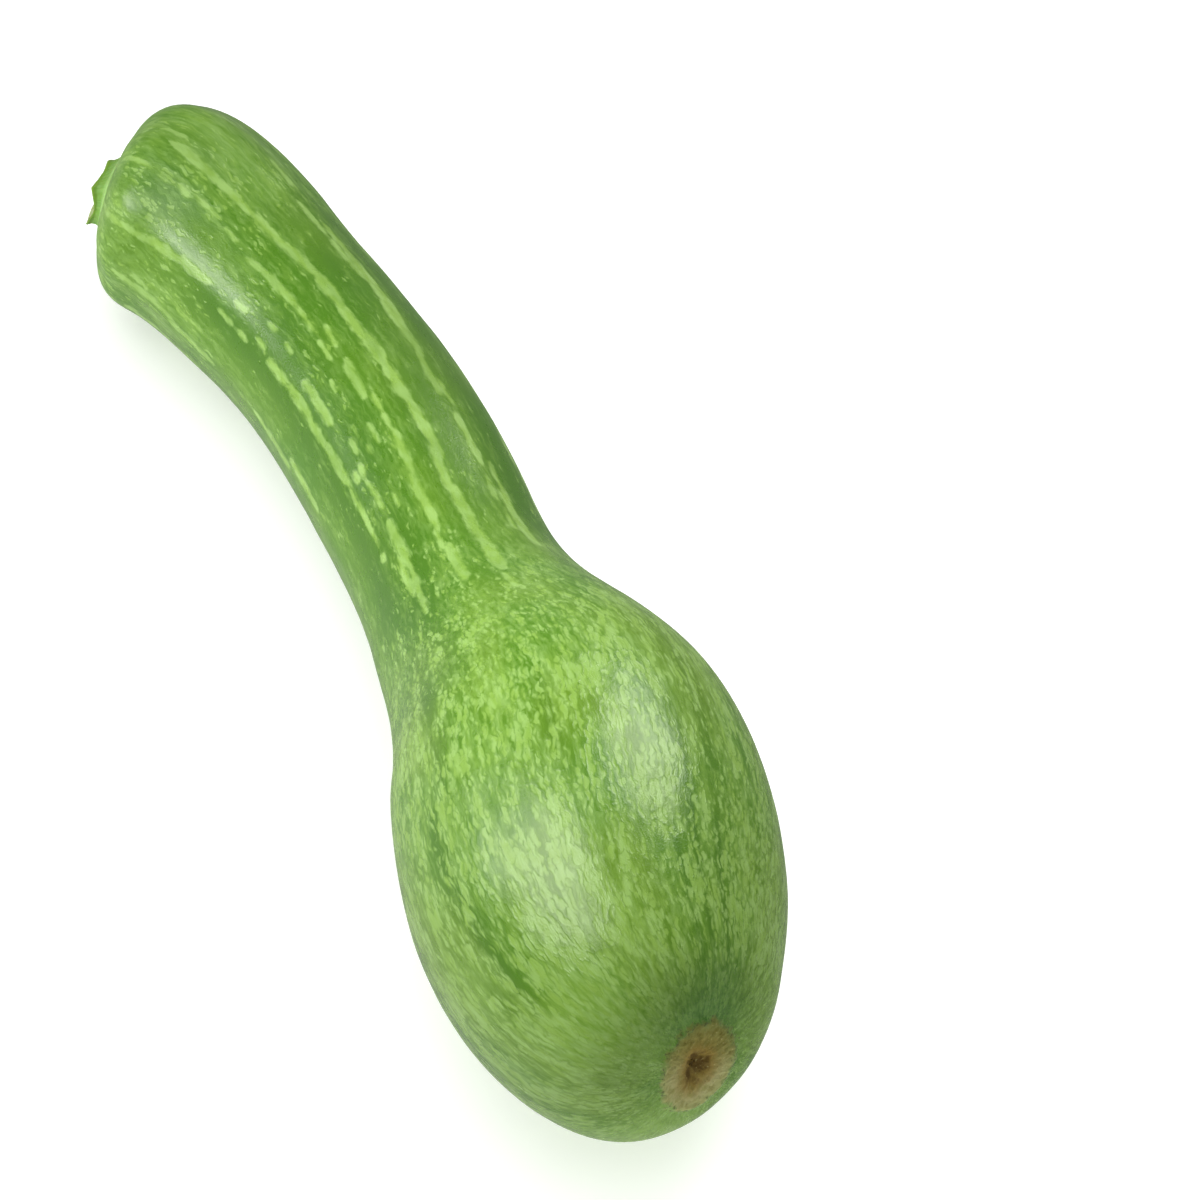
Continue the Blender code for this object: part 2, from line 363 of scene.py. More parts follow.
def b_spline(points, share):
    """Points of a clamped uniform cubic B-spline at shares from 0 to 1 of its parameter."""
    points = np.asarray(points, float)
    spans = len(points) - 3
    place = np.clip(share, 0.0, 1.0 - 1e-9) * spans
    knots = np.concatenate(([0.0] * 3, np.arange(spans + 1.0), [float(spans)] * 3))
    first = np.floor(place).astype(int)
    level = [points[first + i] for i in range(4)]
    for step in range(1, 4):
        for i in range(3, step - 1, -1):
            low = knots[first + i]
            high = knots[first + 4 + i - step]
            mix = (place - low) / (high - low)
            mix = mix.reshape(mix.shape + (1,) * (points.ndim - 1))
            level[i] = (1.0 - mix) * level[i - 1] + mix * level[i]
    return level[3]


def dome(distance, depth, fullness):
    """Share of the full girth at a distance from a rounded end."""
    inward = 1.0 - np.clip(distance / depth, 0.0, 1.0)
    return (1.0 - inward**fullness) ** (1.0 / fullness)


def shoulder_drop(offset):
    """How far the shoulder has fallen below the stem pole at a distance out from it."""
    share = offset / (GIRTH[0] * MM)
    return SHOULDER_DEPTH * (1.0 - (1.0 - share**SHOULDER_FULLNESS) ** (1.0 / SHOULDER_FULLNESS))


def scar_rim(angles):
    """Distance of the scar's rim from the blossom pole."""
    waves = (size * MM * np.cos(count * angles - np.radians(turn)) for count, size, turn in SCAR_WAVES)
    return SCAR_RADIUS + sum(waves)


def scar_height(share):
    shares, heights = np.transpose(SCAR_PROFILE)
    return np.interp(share, shares, heights * MM)


def smooth_step(value, low, high):
    share = np.clip((value - low) / (high - low), 0.0, 1.0)
    return share * share * (3.0 - 2.0 * share)


def rough(points, octaves=2, seed=0.0):
    """Soft noise, about -0.6 to 0.6, at each row of points."""
    shift = Vector((seed, 2.0 * seed, 3.0 * seed))
    rows = points.reshape(-1, 3)
    values = [noise.fractal(Vector(row) + shift, 1.0, 2.0, octaves) for row in rows]
    return np.array(values).reshape(points.shape[:-1])


class Body:
    """The swept fruit: its spine, its girth, and the points of its surface."""

    def __init__(self):
        control = np.array(SPINE)
        control[:, 0] = (control[:, 0] - 0.5) * CHORD
        control[:, 1:] *= MM
        self.points = b_spline(control, np.linspace(0.0, 1.0, SPINE_SAMPLES))
        steps = np.linalg.norm(np.diff(self.points, axis=0), axis=1)
        self.distance = np.concatenate(([0.0], np.cumsum(steps)))
        self.length = self.distance[-1]
        self.tangents = np.gradient(self.points, self.distance, axis=0)
        wave = 0.5 - 0.5 * np.cos(np.linspace(0.0, np.pi, SPINE_SAMPLES))
        self.samples = self.length * wave
        rise = np.hypot(np.diff(self.samples), np.diff(self.radius(self.samples)))
        self.meridian = np.concatenate(([0.0], np.cumsum(rise)))

    def girth(self, along):
        return b_spline(GIRTH, np.asarray(along) / self.length) * MM

    def radius(self, along):
        shoulder = dome(along, SHOULDER_DEPTH, SHOULDER_FULLNESS)
        blossom = dome(self.length - along, BLOSSOM_DEPTH, BLOSSOM_FULLNESS)
        return self.girth(along) * shoulder * blossom

    def frame(self, along):
        """Centre, sideways, upward and forward directions at a distance along the spine."""
        centre = np.stack([np.interp(along, self.distance, row) for row in self.points.T], -1)
        forward = np.stack([np.interp(along, self.distance, row) for row in self.tangents.T], -1)
        forward /= np.linalg.norm(forward, axis=-1, keepdims=True)
        sideways = np.cross((0.0, 0.0, 1.0), forward)
        sideways /= np.linalg.norm(sideways, axis=-1, keepdims=True)
        return centre, sideways, np.cross(forward, sideways), forward


def stroke_depth(along, across, strokes):
    """How far inside the nearest stroke's edge each point lies, in the strokes' own units."""
    depth = np.full(along.shape, FAR_OUTSIDE)
    for a0, c0, a1, c1, half in strokes:
        run = a1 - a0
        rise = c1 - c0
        share = ((along - a0) * run + (across - c0) * rise) / (run * run + rise * rise)
        share = np.clip(share, 0.0, 1.0)
        away = np.hypot(along - a0 - share * run, across - c0 - share * rise)
        taper = 1.0 - 0.5 * np.abs(2.0 * share - 1.0) ** 4
        depth = np.maximum(depth, half * taper - away)
    return depth


def far_strokes():
    """Broken stripes for the side that lies away, with the same lengths and gaps."""
    random = np.random.default_rng(SEED)
    strokes = []
    for middle in FAR_STRIPES:
        share = random.uniform(0.005, 0.03)
        while share < FAR_END:
            length = random.choice(FAR_LENGTHS, p=LENGTH_CHANCES)
            angle = middle + random.normal(0.0, 1.8)
            turn = random.normal(0.0, 1.0)
            width = random.uniform(0.7, 1.3) + 18.0 * length * random.uniform(0.6, 1.2)
            strokes.append((share, angle, share + length, angle + turn, width))
            share += length + random.choice(FAR_GAPS, p=GAP_CHANCES)
    return strokes


def stripe_field(share, degrees, reach, length):
    """Millimetres inside the nearest light stroke, negative outside."""
    best = np.full(share.shape, FAR_OUTSIDE)
    for s0, d0, s1, d1, width in STROKES + tuple(far_strokes()):
        middle = (s0 + s1) / 2.0
        near = np.abs(share - middle) < abs(s1 - s0) / 2.0 + STROKE_MARGIN
        turned = (degrees[near] - d0 + 180.0) % 360.0 - 180.0
        across = np.radians(turned) * reach[near]
        end = np.radians(d1 - d0) * np.median(reach[near])
        stroke = (s0 * length, 0.0, s1 * length, end, width / 2.0)
        best[near] = np.maximum(best[near], stroke_depth(share[near] * length, across, (stroke,)))
    return best


def fleck_cover(share, degrees):
    """How thickly light flecks cover the rind, with thicker and thinner lanes along the neck."""
    cover = np.interp(share, *np.transpose(FLECK_COVER))
    on_neck = smooth_step(share, *LANES_BEGIN) * smooth_step(share, *LANES_END)
    for middle, spread, change in FLECK_LANES:
        turned = (degrees - middle + 180.0) % 360.0 - 180.0
        cover = cover + change * on_neck * np.exp(-((turned / spread) ** 2))
    return cover


def tone_and_painted_light_lanes(share, degrees):
    """How much lighter or deeper than usual the rind's green is, from -1 to 1. Some lanes
    are painted shade and painted fill light.
    """
    tone = np.zeros(share.shape)
    for first, last, middle, spread, change in TONE_AND_PAINTED_LIGHT_LANES:
        turned = (degrees - middle + 180.0) % 360.0 - 180.0
        begun = smooth_step(share, first - FADE_OUTSIDE, first + FADE_INSIDE)
        not_over = smooth_step(share, last + FADE_OUTSIDE, last - FADE_INSIDE)
        tone += change * begun * not_over * np.exp(-((turned / spread) ** 2))
    return tone


def ring_rows(body, angles):
    """Distances along the surface of every ring, each as one value per angle."""
    total = body.meridian[-1]
    rim = scar_rim(angles)
    zone = SCAR_ZONE_SHARE * rim
    count = int(round((total - zone.mean()) / RIND_STEP))
    shares = np.linspace(0.0, 1.0, count + 1)[1:]
    rows = [share * (total - zone) for share in shares]
    steps = np.arange(SCAR_ZONE_SHARE - SCAR_SHARE_STEP, SCAR_SHARE_STEP / 2.0, -SCAR_SHARE_STEP)
    rows += [total - step * rim for step in steps]
    return np.array(rows)


def rind_points(body, crossing, angles):
    """The rind's points and the fields that its material reads, one row per ring."""
    total = body.meridian[-1]
    angle = np.broadcast_to(angles, crossing.shape)
    along = np.interp(crossing, body.meridian, body.samples)
    centre, sideways, upward, forward = body.frame(along)
    outward = np.cos(angle)[..., None] * sideways + np.sin(angle)[..., None] * upward
    plain = body.radius(along)
    girth = body.girth(along)
    base = centre + plain[..., None] * outward

    # Ribs wander a little sideways and fade unevenly down the body.
    drift = rough(np.stack([along / RIB_WANDER_LENGTH, np.cos(angle), np.sin(angle)], -1), 1, 3.1)
    swell = RIB_ON_BODY + (RIB_AT_STEM - RIB_ON_BODY) * np.exp(-along / RIB_FADE)
    ribs = swell * np.cos(RIB_COUNT * (angle - RIB_PHASE + RIB_WANDER * drift)) * plain / girth
    lumps = LUMP_HEIGHT * rough(base / LUMP_LENGTH, 2, 7.7)
    turns = (PUCKER_TURNS * np.cos(angle), PUCKER_TURNS * np.sin(angle))
    pucker = PUCKER_HEIGHT * np.exp(-along / PUCKER_FADE) * np.clip(plain / girth * 1.4, 0, 1)
    pucker *= rough(np.stack([along / PUCKER_LENGTH, *turns], -1), 2, 1.3)

    # The scar: its profile, a cracked pit and crumbled cork.
    to_pole = total - crossing
    rim = scar_rim(angle)
    share = to_pole / rim
    flat = np.stack([to_pole * np.cos(angle), to_pole * np.sin(angle)], -1) / MM
    plane = np.concatenate([flat, np.zeros_like(flat[..., :1])], -1)
    pit = np.full(share.shape, FAR_OUTSIDE)
    cork = np.zeros(share.shape)
    zone = share < LAST_ROUGH_SHARE
    pit[zone] = stroke_depth(flat[zone][:, 0], flat[zone][:, 1], PIT_CRACKS)
    ragged = np.zeros(share.shape)
    ragged[zone] = rough(plane[zone] / RAGGED_LENGTH, 3, 5.0)
    cork[zone] = rough(plane[zone] / CRUMB_LENGTH, 3, 9.0)
    inside = 1.0 - smooth_step(share + 0.10 * ragged, 0.92, 1.04)
    rise = scar_height(share) + CORK_HEIGHT * cork * inside
    rise -= PIT_DEPTH * smooth_step(pit + 1.5 * ragged, -0.9, 0.9)
    lip = np.exp(-(((share + 0.06 * ragged - 1.0) / 0.05) ** 2))
    rise += LIP_HEIGHT * lip * (0.4 + ragged)

    points = base + (ribs + lumps + pucker)[..., None] * outward + rise[..., None] * forward
    degrees = np.degrees(angle)
    turned = (degrees - DUSK_MIDDLE + 180.0) % 360.0 - 180.0
    dusk = DUSK_STRENGTH * np.exp(-((turned / DUSK_SPREAD) ** 2))
    dusk = dusk * smooth_step(share, DUSK_REACH, 1.0)
    reach = np.sqrt(np.maximum(plain, 2.0 * MM) * girth)
    fields = {
        "flow": np.stack([crossing, reach * np.cos(angle), reach * np.sin(angle)], -1) / MM,
        "stripe": stripe_field(along / body.length, degrees, girth / MM, body.length / MM),
        "cover": fleck_cover(along / body.length, degrees),
        "tone": tone_and_painted_light_lanes(along / body.length, degrees),
        "bulb": smooth_step(along / body.length, BULB_FROM, BULB_TO),
        "scar": share,
        "dusk": dusk,
        "pit": pit,
        "scar_plane": plane,
        "stem_near": np.exp(-crossing / PALE_FADE),
    }
    return points, fields


def grid_mesh(name, rows, first_tip, last_tip):
    """A closed mesh from rings of points, with a tip at either end, facing outwards."""
    rings, around = rows.shape[:2]
    points = np.concatenate([rows.reshape(-1, 3), [first_tip, last_tip]])
    index = np.arange(rings * around).reshape(rings, around)
    following = np.roll(index, -1, axis=1)
    quads = np.stack([index[:-1], following[:-1], following[1:], index[1:]], -1).reshape(-1, 4)
    first = rings * around
    faces = [tuple(face) for face in quads[:, ::-1].tolist()]
    faces += [(first, b, a) for a, b in zip(index[0].tolist(), following[0].tolist())]
    faces += [(first + 1, a, b) for a, b in zip(index[-1].tolist(), following[-1].tolist())]
    mesh = bpy.data.meshes.new(name)
    mesh.from_pydata(points.tolist(), [], faces)
    mesh.validate()
    mesh.shade_smooth()
    return mesh


def store(mesh, name, rows, tips):
    """Saves a field on the mesh's points, with its values at the two tips."""
    vector = rows.ndim == 3
    kind, key = ("FLOAT_VECTOR", "vector") if vector else ("FLOAT", "value")
    values = np.concatenate([rows.reshape((-1, 3) if vector else -1), tips])
    attribute = mesh.attributes.new(name, kind, "POINT")
    attribute.data.foreach_set(key, values.astype(np.float32).ravel())


def make_object(name, mesh, material):
    mesh.materials.append(material)
    made = bpy.data.objects.new(name, mesh)
    bpy.context.scene.collection.objects.link(made)
    return made


def make_rind(body, shift, material):
    angles = RIB_PHASE + np.linspace(0.0, 2.0 * np.pi, AROUND_RIND, endpoint=False)
    rows, fields = rind_points(body, ring_rows(body, angles), angles)
    rows = rows + shift
    rows[..., 2] = np.maximum(rows[..., 2], 0.0)
    first_tip = body.points[0] + shift
    last_tip = rows[-1].mean(axis=0)
    mesh = grid_mesh("fruit_skin", rows, first_tip, last_tip)
    for name, values in fields.items():
        tips = np.stack([values[0].mean(axis=0), values[-1].mean(axis=0)])
        store(mesh, name, values, tips)
    return make_object("fruit_skin", mesh, material)


class Graph:
    """Short names for the nodes that the materials are built from."""

    def __init__(self, name):
        self.material = bpy.data.materials.new(name)
        self.material.use_nodes = True
        self.tree = self.material.node_tree
        self.shader = self.tree.nodes["Principled BSDF"]

    def node(self, kind, inputs=(), **settings):
        made = self.tree.nodes.new(kind)
        for key, value in settings.items():
            setattr(made, key, value)
        for key, value in dict(inputs).items():
            self.feed(made.inputs[key], value)
        return made

    def feed(self, socket, value):
        if isinstance(value, bpy.types.NodeSocket):
            self.tree.links.new(value, socket)
        else:
            socket.default_value = value

    def field(self, name):
        return self.node("ShaderNodeAttribute", attribute_name=name).outputs["Fac"]

    def place(self, name):
        return self.node("ShaderNodeAttribute", attribute_name=name).outputs["Vector"]

    def math(self, operation, first, second=0.0, third=0.0, clamp=False):
        made = self.node("ShaderNodeMath", operation=operation, use_clamp=clamp)
        for socket, value in zip(made.inputs, (first, second, third)):
            self.feed(socket, value)
        return made.outputs[0]

    def scaled(self, vector, factors):
        made = self.node("ShaderNodeVectorMath", operation="MULTIPLY")
        self.feed(made.inputs[0], vector)
        self.feed(made.inputs[1], factors)
        return made.outputs[0]

    def noise(self, vector, factors, detail=2.0, roughness=0.5, distortion=0.0):
        inputs = {
            "Vector": self.scaled(vector, factors),
            "Scale": 1.0,
            "Detail": detail,
            "Roughness": roughness,
            "Distortion": distortion,
        }
        return self.node("ShaderNodeTexNoise", inputs).outputs["Fac"]

    def warp(self, vector, amount):
        """The vector moved about by slow noise, in its own units."""
        inputs = {"Vector": vector, "Scale": 0.35, "Detail": 1.0}
        drift = self.node("ShaderNodeTexNoise", inputs).outputs["Color"]
        made = self.node("ShaderNodeVectorMath", operation="MULTIPLY_ADD")
        for socket, value in zip(made.inputs, (drift, (2.0 * amount, amount, amount), vector)):
            self.feed(socket, value)
        return made.outputs[0]

    def cells(self, vector, factors):
        """Distance to the nearest random point, and that point's own random value."""
        inputs = {"Vector": self.scaled(vector, factors), "Scale": 1.0}
        made = self.node("ShaderNodeTexVoronoi", inputs)
        return made.outputs["Distance"], made.outputs["Color"]

    def line(self, value, low, high, start=0.0, end=1.0, kind="LINEAR"):
        """The value carried evenly from one range to another, and held at its ends."""
        inputs = {"Value": value, "From Min": low, "From Max": high, "To Min": start, "To Max": end}
        made = self.node("ShaderNodeMapRange", inputs, interpolation_type=kind)
        return made.outputs["Result"]

    def ramp(self, value, low, high, start=0.0, end=1.0):
        """The same with soft ends."""
        return self.line(value, low, high, start, end, "SMOOTHSTEP")

    def mix(self, share, first, second):
        made = self.node("ShaderNodeMix", data_type="RGBA")
        self.feed(made.inputs[0], share)
        self.feed(made.inputs[6], first)
        self.feed(made.inputs[7], second)
        return made.outputs[2]

    def bump(self, height, distance):
        inputs = {"Height": height, "Distance": distance, "Strength": 1.0}
        return self.node("ShaderNodeBump", inputs).outputs["Normal"]

    def set(self, **values):
        for key, value in values.items():
            self.feed(self.shader.inputs[key.replace("_", " ")], value)


def paint(red, green, blue):
    """A linear colour from display values of 0 to 255."""
    shown = np.array((red, green, blue)) / 255.0
    linear = np.where(shown <= 0.04045, shown / 12.92, ((shown + 0.055) / 1.055) ** 2.4)
    return (*linear.tolist(), 1.0)


def rind_marks(g, flow, streaks, wavy):
    """How light the strokes and flecks are, and the tone of the ground between them."""
    cover = g.field("cover")
    lane_and_painted_light = g.field("tone")
    lanes = g.noise(flow, (0.018, 0.17, 0.17), 2.0)
    mottle = g.noise(flow, (0.085, 0.24, 0.24), 2.0, 0.5, 0.3)
    crumbs = g.noise(flow, (0.60, 1.40, 1.40), 2.0, 0.5, 0.4)

    # Light strokes with soft wavy edges, some fainter than others.
    edge = g.math("MULTIPLY_ADD", wavy, 1.9, g.math("ADD", g.field("stripe"), -0.90))
    edge = g.math("MULTIPLY_ADD", crumbs, 0.7, g.math("ADD", edge, -0.25))
    strokes = g.ramp(edge, -0.45, 0.50)
    strokes = g.math("MULTIPLY", strokes, g.line(mottle, 0.35, 0.60, 0.62, 0.90))

    # Light flecks like grains drawn out along the body, thick on the bulb and few on the neck,
    # where their edges are crisper.
    near, random = g.cells(g.warp(flow, 1.9), (0.27, 1.15, 1.15))
    size = g.math("MULTIPLY_ADD", random, 0.60, -0.39)
    size = g.math("MULTIPLY_ADD", cover, 0.42, size)
    size = g.math("MULTIPLY_ADD", g.math("SUBTRACT", mottle, 0.5), 1.5, size)
    size = g.math("MULTIPLY_ADD", g.math("SUBTRACT", crumbs, 0.5), 0.6, size)
    size = g.math("MULTIPLY_ADD", g.math("MINIMUM", lane_and_painted_light, 0.0), 0.16, size)
    crispness = g.line(g.field("bulb"), 0.0, 1.0, 1.7, 1.0)
    flecks = g.ramp(g.math("MULTIPLY", g.math("SUBTRACT", size, near), crispness), -0.30, 0.12)
    flecks = g.math("MULTIPLY", flecks, g.line(cover, 0.1, 0.9, 0.50, 0.72))
    gaps = g.ramp(near, 0.42, 0.85)

    # The ground: fine lengthwise grain, streaks, lanes and mottling, with painted shade and
    #     # painted fill light in some of the lanes.
    grain = g.noise(g.warp(flow, 1.6), (0.13, 1.15, 1.15), 2.0, 0.55, 0.2)
    tone = g.math("MULTIPLY_ADD", g.math("SUBTRACT", grain, 0.5), 2.0, 0.30)
    tone = g.math("MULTIPLY_ADD", g.math("SUBTRACT", streaks, 0.5), 0.8, tone)
    tone = g.math("MULTIPLY_ADD", g.math("SUBTRACT", lanes, 0.5), 1.2, tone)
    tone = g.math("MULTIPLY_ADD", g.math("SUBTRACT", mottle, 0.5), 0.7, tone)
    tone = g.math("MULTIPLY_ADD", gaps, -0.20, tone)
    tone = g.math("MULTIPLY_ADD", lane_and_painted_light, 0.55, tone)
    tone = g.math("MULTIPLY_ADD", cover, 0.16, tone, clamp=True)
    tone = g.math("MULTIPLY", tone, g.line(cover, 0.2, 1.0, 0.66, 1.0))

    # The rind is paler next to the stem.
    by_stem = g.math("MULTIPLY", g.field("stem_near"), g.ramp(streaks, 0.30, 0.60, 0.2, 0.9))
    light = g.math("MAXIMUM", g.math("MAXIMUM", flecks, strokes), by_stem)
    return light, tone


def rind_colour(g, flow, streaks, wavy, light, tone):
    """The green rind, darker and duller above the scar."""
    lane_and_painted_light = g.field("tone")
    patches = g.ramp(g.noise(flow, (0.030, 0.06, 0.06), 1.0), 0.35, 0.65)
    neck_green = g.mix(patches, paint(82, 131, 28), paint(94, 139, 32))
    bulb_green = g.mix(patches, paint(90, 138, 32), paint(105, 146, 35))
    green = g.mix(g.field("bulb"), neck_green, bulb_green)
    # Deeper and lighter lanes: mostly the rind's own, with painted shade and painted fill light in
    # some.
    green = g.mix(g.line(lane_and_painted_light, 0.0, -1.0, 0.0, 0.8), green, paint(66, 112, 22))
    green = g.mix(g.line(lane_and_painted_light, 0.2, 1.0, 0.0, 0.6), green, paint(122, 172, 46))
    pale = g.mix(g.ramp(wavy, 0.35, 0.65), paint(148, 189, 82), paint(162, 202, 108))
    ground = g.mix(tone, green, g.mix(0.7, green, pale))
    shade = g.mix(g.ramp(streaks, 0.38, 0.64), paint(72, 122, 42), paint(112, 158, 70))
    return g.mix(g.field("dusk"), g.mix(light, ground, pale), shade)


def add_cork(g, skin):
    """The skin's colour with the scar's cork on it, and how far inside the scar a place is."""
    plane = g.place("scar_plane")
    clots = g.noise(plane, (0.42, 0.42, 0.42), 3.0, 0.6)
    grit = g.noise(plane, (1.3, 1.3, 1.3), 3.0, 0.6)
    border = g.math("MULTIPLY_ADD", clots, 0.55, g.math("ADD", g.field("scar"), -0.275))
    inside = g.ramp(border, 1.08, 0.90)

    # Tan cork below and golden above, with another tone at its rim.
    sides = {0: plane, 1: (0.50, 0.87, 0.0)}
    across = g.node("ShaderNodeVectorMath", sides, operation="DOT_PRODUCT")
    golden = g.ramp(g.math("MULTIPLY_ADD", clots, 8.0, across.outputs["Value"]), 0.5, 9.0)
    spread = g.ramp(clots, 0.36, 0.62)
    tan = g.mix(spread, paint(156, 154, 88), paint(186, 184, 126))
    gold = g.mix(spread, paint(120, 116, 46), paint(148, 144, 72))
    edge_tone = g.mix(golden, paint(172, 176, 110), paint(130, 136, 66))
    cork = g.mix(g.ramp(border, 0.72, 0.98), g.mix(golden, tan, gold), edge_tone)

    # The pit and its surround, light and dark specks, and dark marks along the rim.
    pit = g.math("MULTIPLY_ADD", clots, 6.0, g.math("ADD", g.field("pit"), -3.0))
    cork = g.mix(g.math("MULTIPLY", g.ramp(pit, -4.2, -0.4), 0.80), cork, paint(150, 124, 50))
    cork = g.mix(g.ramp(pit, -1.0, 1.3), cork, paint(98, 77, 25))
    cork = g.mix(g.ramp(grit, 0.60, 0.76), cork, paint(196, 186, 122))
    cork = g.mix(g.ramp(grit, 0.38, 0.24), cork, paint(116, 98, 40))
    rim = g.math("ABSOLUTE", g.math("SUBTRACT", border, 0.99))
    marks = g.math("MULTIPLY", g.ramp(rim, 0.10, 0.03), g.ramp(grit, 0.47, 0.38))
    colour = g.mix(g.math("MULTIPLY", marks, 0.65), g.mix(inside, skin, cork), paint(84, 82, 38))
    return colour, inside


def rind_material():
    g = Graph("waxy_rind")
    flow = g.place("flow")
    streaks = g.noise(flow, (0.10, 0.70, 0.70), 3.0, 0.55, 0.2)
    wavy = g.noise(flow, (0.20, 0.60, 0.60), 2.0, 0.5)
    light, tone = rind_marks(g, flow, streaks, wavy)
    skin = rind_colour(g, flow, streaks, wavy, light, tone)
    colour, inside = add_cork(g, skin)

    # Fine relief, and a waxy gloss that is duller on the neck, by the stem and on the cork.
    pores = g.noise(flow, (2.2, 2.6, 2.6), 2.0)
    soft = g.noise(flow, (0.25, 0.45, 0.45), 2.0)
    height = g.math("ADD", light, g.math("MULTIPLY_ADD", tone, 0.7, pores))
    height = g.math("MULTIPLY_ADD", soft, 1.1, height)
    roughness = g.line(soft, 0.3, 0.7, 0.20, 0.27)
    roughness = g.math("MULTIPLY_ADD", inside, 0.45, roughness)
    roughness = g.math("MULTIPLY_ADD", g.field("stem_near"), 0.70, roughness)
    roughness = g.math("ADD", roughness, g.line(g.field("bulb"), 0.0, 1.0, 0.06, 0.02))
    g.set(Base_Color=colour, Roughness=roughness, Normal=g.bump(height, GRAIN_DEPTH))
    g.set(Specular_IOR_Level=g.line(inside, 0.0, 1.0, 0.50, 0.15))
    return g.material


def between_ridges(angles):
    """0 on a ridge of the stem, and about 1 midway between two that are evenly spaced."""
    ridges = np.radians(STEM_RIDGES + (STEM_RIDGES[0] + 360,))
    turned = (angles - ridges[0]) % (2.0 * np.pi) + ridges[0]
    index = np.searchsorted(ridges, turned, side="right") - 1
    width = ridges[index + 1] - ridges[index]
    share = (turned - ridges[index]) / width
    return (width * len(STEM_RIDGES) / (2.0 * np.pi)) ** 4 * np.sin(np.pi * share)


def make_stem(body, shift, material):
    """The stub: a seat sunk just into the shoulder, fluted sides and a cut end with its pith."""
    pole, sideways, upward, forward = body.frame(0.0)
    angles = np.linspace(0.0, 2.0 * np.pi, AROUND_STEM, endpoint=False)
    spread = np.outer(np.cos(angles), sideways) + np.outer(np.sin(angles), upward)
    lean = np.cos(STEM_LEAN_ANGLE) * sideways + np.sin(STEM_LEAN_ANGLE) * upward
    gap = between_ridges(angles)
    top = STEM_PROFILE[-1][0] * MM

    def middle(height):
        share = height / top
        return pole + (STEM_LEAN_AT_BASE * (1.0 - share) + STEM_LEAN_AT_CUT * share) * lean

    def flutes(height):
        up = np.full(angles.shape, height / (6 * MM))
        places = np.stack([up, 4 * np.cos(angles), 4 * np.sin(angles)], -1)
        return FLUTE_ROUGHNESS * rough(places, 2, 2.2)

    def outline(height, radius):
        share = height / top
        valley = STEM_VALLEY_AT_BASE * (1.0 - share) + STEM_VALLEY_AT_CUT * share
        return middle(height) + (radius * (1.0 - valley * gap) + flutes(height))[:, None] * spread

    def free_ring(height, radius):
        rise = height - STEM_DIP * gap * height / top
        return outline(height, radius) - rise[:, None] * forward

    def seat(points):
        drop = shoulder_drop(np.linalg.norm(points - pole, axis=-1)) + STEM_SUNK
        return points + np.multiply.outer(drop, forward)

    heights, radii = np.transpose(STEM_PROFILE) * MM
    fine = np.linspace(0.0, 1.0, RINGS_UP_STEM + 1)[1:] * top
    rings = [seat(outline(0.0, radii[0] * share)) for share in (0.5, 0.9, 1.0)]
    field = [(0.0, 1.0)] * 3
    for height in fine:
        rings.append(free_ring(height, np.interp(height, heights, radii)))
        field.append((height / top, 1.0))
    for share in np.linspace(1.0, CUT_HOLE, RINGS_OVER_CUT + 1)[1:]:
        ring = free_ring(top, radii[-1] * share)
        flat = np.stack([share * 6 * np.cos(angles), share * 6 * np.sin(angles), 0 * angles], -1)
        dent = PITH_DEPTH * smooth_step(share, 0.42, 0.30)
        edge = EDGE_WEAR * smooth_step(share, 0.85, 1.0)
        lift = CUT_ROUGHNESS * rough(flat, 3, 4.4) - dent - edge
        rings.append(ring - np.multiply.outer(lift, forward))
        field.append((1.0, share))
    rows = np.array(rings) + shift
    first_tip = seat(middle(0.0)) + shift
    last_tip = rows[-1].mean(axis=0)
    mesh = grid_mesh("stem_stub", rows, first_tip, last_tip)
    field = np.array(field)
    for name, column in (("rise", 0), ("cut", 1)):
        values = np.repeat(field[:, column : column + 1], AROUND_STEM, axis=1)
        store(mesh, name, values, [0.0 if name == "rise" else 1.0, values[-1, 0]])
    turn = np.stack([np.cos(angles), np.sin(angles), gap], -1)
    turns = np.repeat(turn[None], len(rings), axis=0)
    store(mesh, "turn", turns, [turn.mean(axis=0)] * 2)
    flat = turns * field[:, 1][:, None, None]
    flat[..., 2] = 0.0
    store(mesh, "face", flat, [flat[-1].mean(axis=0)] * 2)
    return make_object("stem_stub", mesh, material)


def stem_material():
    g = Graph("stem_skin")
    rise = g.field("rise")
    cut = g.field("cut")
    turn = g.place("turn")
    fibres = g.noise(turn, (14.0, 14.0, 0.0), 3.0, 0.6)
    blotch = g.noise(turn, (2.5, 2.5, 0.0), 2.0)
    skin = g.mix(g.ramp(fibres, 0.35, 0.7), paint(112, 158, 62), paint(146, 190, 96))
    skin = g.mix(g.ramp(blotch, 0.4, 0.65), skin, paint(124, 168, 66))
    skin = g.mix(g.ramp(rise, 0.55, 0.95), skin, paint(118, 158, 46))
    skin = g.mix(g.ramp(rise, 0.35, 0.0), skin, paint(160, 202, 116))
    face = g.place("face")
    rays = g.noise(face, (5.0, 5.0, 1.0), 4.0, 0.6)
    flesh = g.mix(g.ramp(rays, 0.35, 0.65), paint(150, 170, 104), paint(186, 196, 140))
    flesh = g.mix(g.ramp(cut, 0.84, 0.97), flesh, paint(92, 120, 48))
    flesh = g.mix(g.ramp(cut, 0.45, 0.32), flesh, paint(160, 150, 96))
    on_cut = g.ramp(cut, 0.995, 0.965)
    colour = g.mix(on_cut, skin, flesh)
    normal = g.bump(fibres, FIBRE_DEPTH)
    g.set(Base_Color=colour, Roughness=g.line(blotch, 0.3, 0.7, 0.5, 0.62), Normal=normal)
    g.set(Specular_IOR_Level=0.4, Subsurface_Weight=0.06, Subsurface_Scale=0.003)
    return g.material


